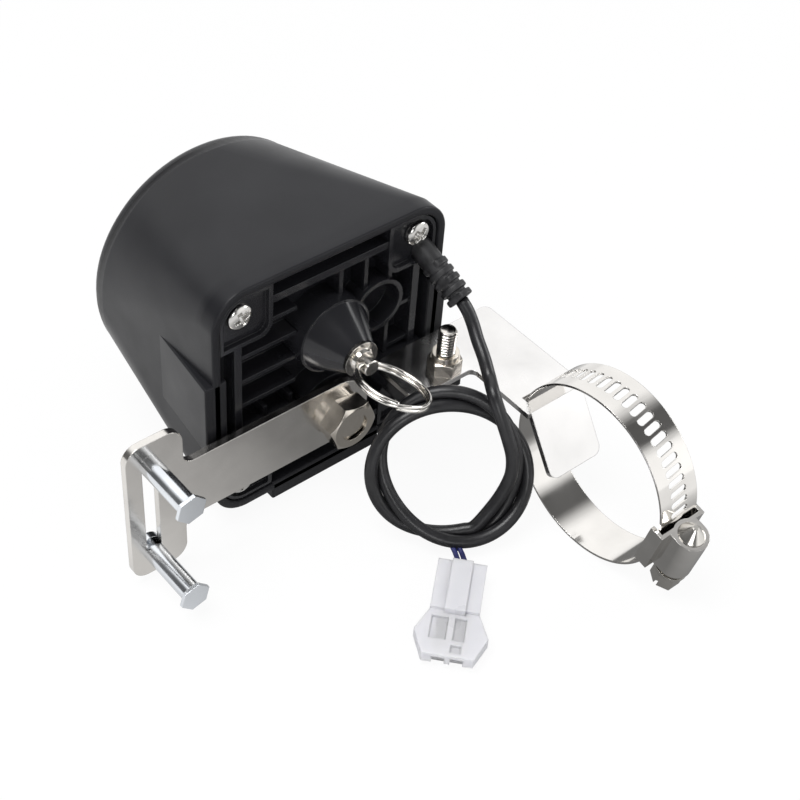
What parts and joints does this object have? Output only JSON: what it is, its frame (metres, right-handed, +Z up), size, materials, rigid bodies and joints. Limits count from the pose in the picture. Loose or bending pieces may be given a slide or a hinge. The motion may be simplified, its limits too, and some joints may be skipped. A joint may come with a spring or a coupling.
{
  "type": "motorized valve actuator",
  "caption": "Motorised quarter-turn lever valve actuator: tapered black housing, slotted T lever with drive pins, pull release, hose clamp bracket and plug-ended cable.",
  "frame": {"origin": "centre of the hose clamp, on the pipe axis", "axes": "+X along the pipe, +Y along the valve stem into the housing, +Z up from the table it stands on"},
  "size_m": [0.1172, 0.1518, 0.0774],
  "materials": {
    "black_housing": "satin black moulded plastic",
    "gloss_black": "glossy black moulded plastic",
    "black_plastic": "matt black",
    "seal_rubber": "black rubber",
    "boot_rubber": "black moulded boot",
    "cable_sheath": "black sheath, slight gloss",
    "core_blue": "dark blue insulation",
    "white_nylon": "translucent white nylon",
    "contact_tin": "tinned brass",
    "screw_steel": "nickel plated",
    "plated_pin": "nickel plated",
    "ring_steel": "nickel plated wire",
    "zinc_pin": "zinc plated",
    "spring_steel": "plain spring steel",
    "dark_steel": "plain steel",
    "plate_steel": "plated sheet steel",
    "motor_steel": "plated can",
    "gearhead_steel": "sintered housing",
    "shaft_steel": "plated steel",
    "bush_bronze": "sintered bronze",
    "gear_brass": "cut brass",
    "gear_nylon": "white acetal",
    "board_green": "solder mask",
    "relay_blue": "relay case",
    "arm_steel": "nickel plated sheet",
    "nut_steel": "nickel plated",
    "bracket_steel": "nickel plated sheet",
    "bolt_steel": "nickel plated",
    "band_steel": "polished stainless strip",
    "worm_steel": "plated steel"
  },
  "bodies": {
    "actuator": {"housing_shell": "black_housing", "base_plate": "gloss_black", "base_seal": "seal_rubber", "housing_screws": "screw_steel", "release_cone": "gloss_black", "release_spring": "spring_steel", "idler_axle": "dark_steel", "gear_plate": "plate_steel", "gear_plate_screws": "screw_steel", "motor_can": "motor_steel", "motor_gearhead": "gearhead_steel", "motor_screws": "screw_steel", "shaft_bush": "bush_bronze", "shaft_seal": "seal_rubber", "limit_switches": "black_plastic", "control_board": "board_green", "board_spacers": "gear_brass", "board_screws": "screw_steel", "board_relays": "relay_blue", "pipe_bracket": "bracket_steel", "bracket_bolt": "bolt_steel", "bracket_nut": "bolt_steel", "clamp_band": "band_steel", "worm_housing": "band_steel", "cable_boot": "boot_rubber", "cable_lead": "cable_sheath", "cable_coil": "cable_sheath", "core_wires": "core_blue", "connector_body": "white_nylon", "connector_contacts": "contact_tin"},
    "output": {"output_shaft": "shaft_steel", "output_gear": "gear_brass", "limit_cam": "gear_nylon", "lever_arm": "arm_steel", "spring_washer": "nut_steel", "lever_nut": "nut_steel"},
    "upper_pin": {"upper_drive_pin": "zinc_pin", "upper_pin_screw": "screw_steel"},
    "lower_pin": {"lower_drive_pin": "zinc_pin", "lower_pin_screw": "screw_steel"},
    "release": {"release_pin": "plated_pin", "release_washer": "plated_pin", "pin_clip": "dark_steel"},
    "ring": {"split_ring": "ring_steel"},
    "pinion": {"clutch_pinion": "gear_brass"},
    "drive": {"drive_gear": "gear_brass"},
    "idler": {"idler_gear": "gear_nylon"},
    "motor_drive": {"motor_shaft": "dark_steel", "motor_pinion": "gear_brass"},
    "worm": {"worm_screw": "worm_steel"}
  },
  "joints": [
    {"name": "output_turn", "type": "hinge", "parent": "actuator", "child": "output", "pos_m": [-0.0435, 0.056, 0], "axis": [0, -1, 0], "range_deg": [0, 90]},
    {"name": "upper_pin_slide", "type": "slide", "parent": "output", "child": "upper_pin", "axis": [0, 0, -1], "range_m": [0, 0.011]},
    {"name": "lower_pin_slide", "type": "slide", "parent": "output", "child": "lower_pin", "axis": [0, 0, 1], "range_m": [0, 0.011]},
    {"name": "release_pull", "type": "slide", "parent": "actuator", "child": "release", "axis": [0, -1, 0], "range_m": [0, 0.005], "stiffness_N_per_m": 300, "deforming": ["release_spring"]},
    {"name": "ring_swing", "type": "hinge", "parent": "release", "child": "ring", "pos_m": [-0.0435, 0.0446, 0.0248], "axis": [0.891, 0, -0.454], "range_deg": [-75, 3]},
    {"name": "pinion_spin", "type": "hinge", "parent": "release", "child": "pinion", "pos_m": [-0.0435, 0.073, 0.0248], "axis": [0, -1, 0], "range_deg": [-163.7, 0.1]},
    {"name": "drive_spin", "type": "hinge", "parent": "actuator", "child": "drive", "pos_m": [-0.0435, 0.079, 0.0248], "axis": [0, -1, 0], "range_deg": [-163.7, 0.1]},
    {"name": "idler_spin", "type": "hinge", "parent": "actuator", "child": "idler", "pos_m": [-0.0243, 0.079, 0.0248], "axis": [0, -1, 0], "range_deg": [-0.1, 491]},
    {"name": "motor_spin", "type": "hinge", "parent": "actuator", "child": "motor_drive", "pos_m": [-0.0243, 0.083, 0.0123], "axis": [0, -1, 0], "range_deg": [-1964, 0.1]},
    {"name": "worm_turn", "type": "hinge", "parent": "actuator", "child": "worm", "pos_m": [0, -0.02876, -0.00611], "axis": [0, 0.2079, -0.9781], "continuous": true}
  ],
  "couplings": [
    {"joint": "pinion_spin", "follows": "output_turn", "ratio": -1.8182},
    {"joint": "drive_spin", "follows": "output_turn", "ratio": -1.8182},
    {"joint": "idler_spin", "follows": "output_turn", "ratio": 5.4545},
    {"joint": "motor_spin", "follows": "output_turn", "ratio": -21.818}
  ]
}
